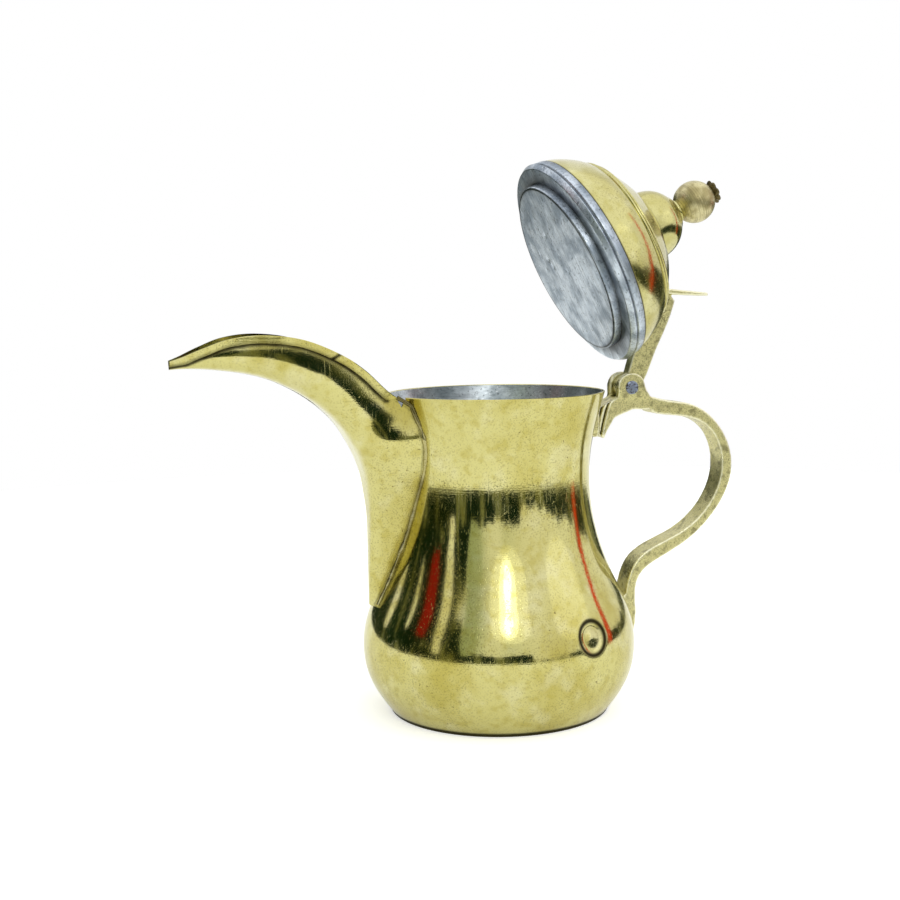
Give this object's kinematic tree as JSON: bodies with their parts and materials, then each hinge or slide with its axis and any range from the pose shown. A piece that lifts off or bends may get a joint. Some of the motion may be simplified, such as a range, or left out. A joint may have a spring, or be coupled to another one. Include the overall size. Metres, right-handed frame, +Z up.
{
  "type": "coffee pot",
  "caption": "Brass coffee pot with a waisted body, a long open beak spout, a bow handle and a domed lid on a hinge with a thumb rest and a ball knob.",
  "frame": {"origin": "middle of the base, on the surface that the pot stands on", "axes": "+Z up through the pot's axis, +X towards the hinge and the handle, -X towards the spout, +Y across"},
  "size_m": [0.2644, 0.1268, 0.2534],
  "materials": {
    "polished_brass": "polished sheet brass with fine pits and hairline scratches",
    "cast_brass": "rough casting, worn smooth on its edges",
    "knob_brass": "turned brass, dull and brown with age",
    "tinned_copper": "tinned grey sheet with circular scratches",
    "pin_steel": "hammered steel"
  },
  "bodies": {
    "pot": {"pot_body": "polished_brass", "base_disc": "polished_brass", "spout_channel": "polished_brass", "spout_edging_rear_near": "polished_brass", "spout_edging_rear_far": "polished_brass", "spout_edging_front_near": "polished_brass", "spout_edging_front_far": "polished_brass", "root_pad": "cast_brass", "handle": "cast_brass", "hinge_pin": "pin_steel"},
    "lid": {"liner_ring": "tinned_copper", "liner_plug": "tinned_copper", "lower_dome": "polished_brass", "moulding": "polished_brass", "upper_dome": "polished_brass", "crown": "polished_brass", "lid_strap": "cast_brass", "knob_collar": "knob_brass", "knob_ball": "knob_brass", "knob_rosette": "cast_brass", "knob_rod": "pin_steel"}
  },
  "joints": [
    {"name": "lid_hinge", "type": "hinge", "parent": "pot", "child": "lid", "pos_m": [0.0648, 0, 0.148], "axis": [0, 1, 0], "range_deg": [-64.3, 44]}
  ]
}
